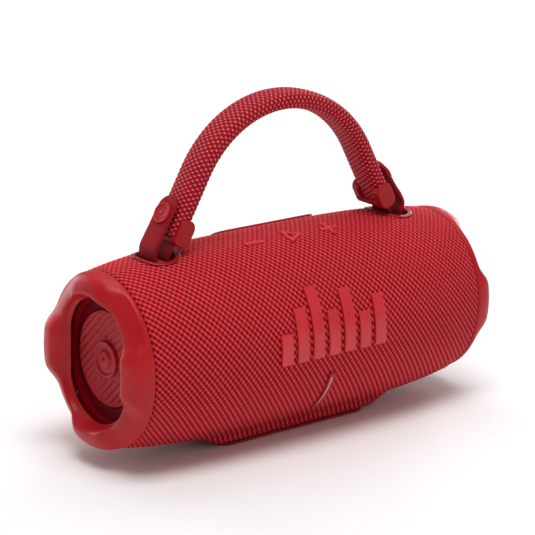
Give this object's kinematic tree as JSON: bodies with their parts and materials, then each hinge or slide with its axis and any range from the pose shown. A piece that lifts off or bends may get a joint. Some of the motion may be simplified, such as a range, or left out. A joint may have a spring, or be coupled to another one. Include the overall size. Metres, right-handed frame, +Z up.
{
  "type": "portable speaker",
  "caption": "Barrel-shaped portable speaker in a knitted sleeve, with lobed rubber end bumpers, end radiators and a woven carry handle on snap straps.",
  "frame": {"origin": "middle of the underside of the rubber foot, on the surface the speaker stands on", "axes": "+X along the barrel towards its right end, +Z up, and -Y out of the front with the badge and the status light"},
  "size_m": [0.2288, 0.0952, 0.1683],
  "materials": {
    "woven_fabric": "knitted polyester over a frame",
    "bumper_rubber": "satin moulded rubber",
    "strap_rubber": "smooth matte rubber",
    "cap_rubber": "satin moulded rubber",
    "foot_rubber": "matte rubber",
    "well_plastic": "satin moulded plastic",
    "radiator_plastic": "satin moulded plastic with fine grooves",
    "badge_plastic": "semi-gloss moulded plastic",
    "button_rubber": "matte moulded rubber",
    "panel_plastic": "fine-textured plastic",
    "lens": "clear diffused lens",
    "frame_plastic": "moulded plastic",
    "soft_rubber": "soft rubber",
    "core_plastic": "moulded plastic",
    "steel": "plated steel",
    "magnet": "ferrite and steel",
    "copper": "copper winding",
    "cone": "anodised",
    "board": "solder mask",
    "components": "moulded plastic",
    "cells": "wrapped cells",
    "wire": "insulated wire"
  },
  "bodies": {
    "root": {"fabric_sleeve": "woven_fabric", "grille_frame": "frame_plastic", "base_foot": "foot_rubber", "front_badge": "badge_plastic", "light_bezel": "panel_plastic", "light_lens": "lens", "rear_panel": "panel_plastic", "usb_shell": "steel", "usb_tongue": "frame_plastic", "rear_board": "board", "bumper_left": "bumper_rubber", "bumper_right": "bumper_rubber", "end_frame_left": "frame_plastic", "end_frame_right": "frame_plastic", "radiator_surround_left": "soft_rubber", "radiator_surround_right": "soft_rubber", "well_cup_left": "well_plastic", "well_cup_right": "well_plastic", "anchor_bar_left": "well_plastic", "anchor_bar_right": "well_plastic", "button_board": "board", "tact_switches": "components", "chamber_front": "frame_plastic", "chamber_rear": "frame_plastic", "chamber_gasket": "soft_rubber", "frame_screws": "steel", "woofer_basket": "steel", "woofer_surround": "soft_rubber", "woofer_magnet": "magnet", "tweeter_frame": "frame_plastic", "battery_cells": "cells", "battery_tray": "frame_plastic", "main_board": "board", "wire_harness": "wire"},
    "handle": {"handle_sleeve": "woven_fabric", "handle_core": "core_plastic", "grip_cap_left": "cap_rubber", "grip_cap_right": "cap_rubber", "strap_left": "strap_rubber", "strap_right": "strap_rubber", "snap_stud_left": "steel", "snap_stud_right": "steel"},
    "flap_left": {"strap_tail_left": "strap_rubber", "snap_cap_left": "badge_plastic"},
    "flap_right": {"strap_tail_right": "strap_rubber", "snap_cap_right": "badge_plastic"},
    "minus_key": {"button_minus": "button_rubber"},
    "play_key": {"button_play": "button_rubber"},
    "plus_key": {"button_plus": "button_rubber"},
    "power_key": {"button_power": "button_rubber"},
    "link_key": {"button_link": "button_rubber"},
    "share_key": {"button_share": "button_rubber"},
    "radiator_moving_left": {"radiator_left": "radiator_plastic", "radiator_boss_left": "radiator_plastic"},
    "radiator_moving_right": {"radiator_right": "radiator_plastic", "radiator_boss_right": "radiator_plastic"},
    "woofer_moving": {"woofer_cone": "cone", "voice_coil": "copper"},
    "tweeter_moving": {"tweeter_dome": "cone"}
  },
  "joints": [
    {"name": "handle_tilt", "type": "hinge", "parent": "root", "child": "handle", "pos_m": [0, 0, 0.0974], "axis": [1, 0, 0], "range_deg": [-12, 12], "stiffness_Nm_per_rad": 0.3, "deforming": ["strap_left", "strap_right"]},
    {"name": "strap_open_left", "type": "hinge", "parent": "handle", "child": "flap_left", "pos_m": [-0.0739, 0, 0.0929], "axis": [0, -1, 0], "range_deg": [0, 16], "deforming": ["strap_left"]},
    {"name": "strap_open_right", "type": "hinge", "parent": "handle", "child": "flap_right", "pos_m": [0.0739, 0, 0.0929], "axis": [0, 1, 0], "range_deg": [0, 16], "deforming": ["strap_right"]},
    {"name": "press_minus", "type": "slide", "parent": "root", "child": "minus_key", "axis": [0, 0.2487, -0.9686], "range_m": [0, 0.0005], "stiffness_N_per_m": 150},
    {"name": "press_play", "type": "slide", "parent": "root", "child": "play_key", "axis": [0, 0.2487, -0.9686], "range_m": [0, 0.0005], "stiffness_N_per_m": 150},
    {"name": "press_plus", "type": "slide", "parent": "root", "child": "plus_key", "axis": [0, 0.2487, -0.9686], "range_m": [0, 0.0005], "stiffness_N_per_m": 150},
    {"name": "press_power", "type": "slide", "parent": "root", "child": "power_key", "axis": [0, -0.5446, -0.8387], "range_m": [0, 0.0005], "stiffness_N_per_m": 150},
    {"name": "press_link", "type": "slide", "parent": "root", "child": "link_key", "axis": [0, -0.5446, -0.8387], "range_m": [0, 0.0005], "stiffness_N_per_m": 150},
    {"name": "press_share", "type": "slide", "parent": "root", "child": "share_key", "axis": [0, -0.5446, -0.8387], "range_m": [0, 0.0005], "stiffness_N_per_m": 150},
    {"name": "radiator_left_stroke", "type": "slide", "parent": "root", "child": "radiator_moving_left", "axis": [-1, 0, 0], "range_m": [-0.0025, 0.0025], "stiffness_N_per_m": 600, "deforming": ["radiator_surround_left"]},
    {"name": "radiator_right_stroke", "type": "slide", "parent": "root", "child": "radiator_moving_right", "axis": [1, 0, 0], "range_m": [-0.0025, 0.0025], "stiffness_N_per_m": 600, "deforming": ["radiator_surround_right"]},
    {"name": "woofer_stroke", "type": "slide", "parent": "root", "child": "woofer_moving", "axis": [0, -1, 0], "range_m": [-0.003, 0.003], "stiffness_N_per_m": 900, "deforming": ["woofer_surround"]},
    {"name": "tweeter_stroke", "type": "slide", "parent": "root", "child": "tweeter_moving", "axis": [0, -1, 0], "range_m": [-0.0003, 0.0003], "stiffness_N_per_m": 150}
  ]
}
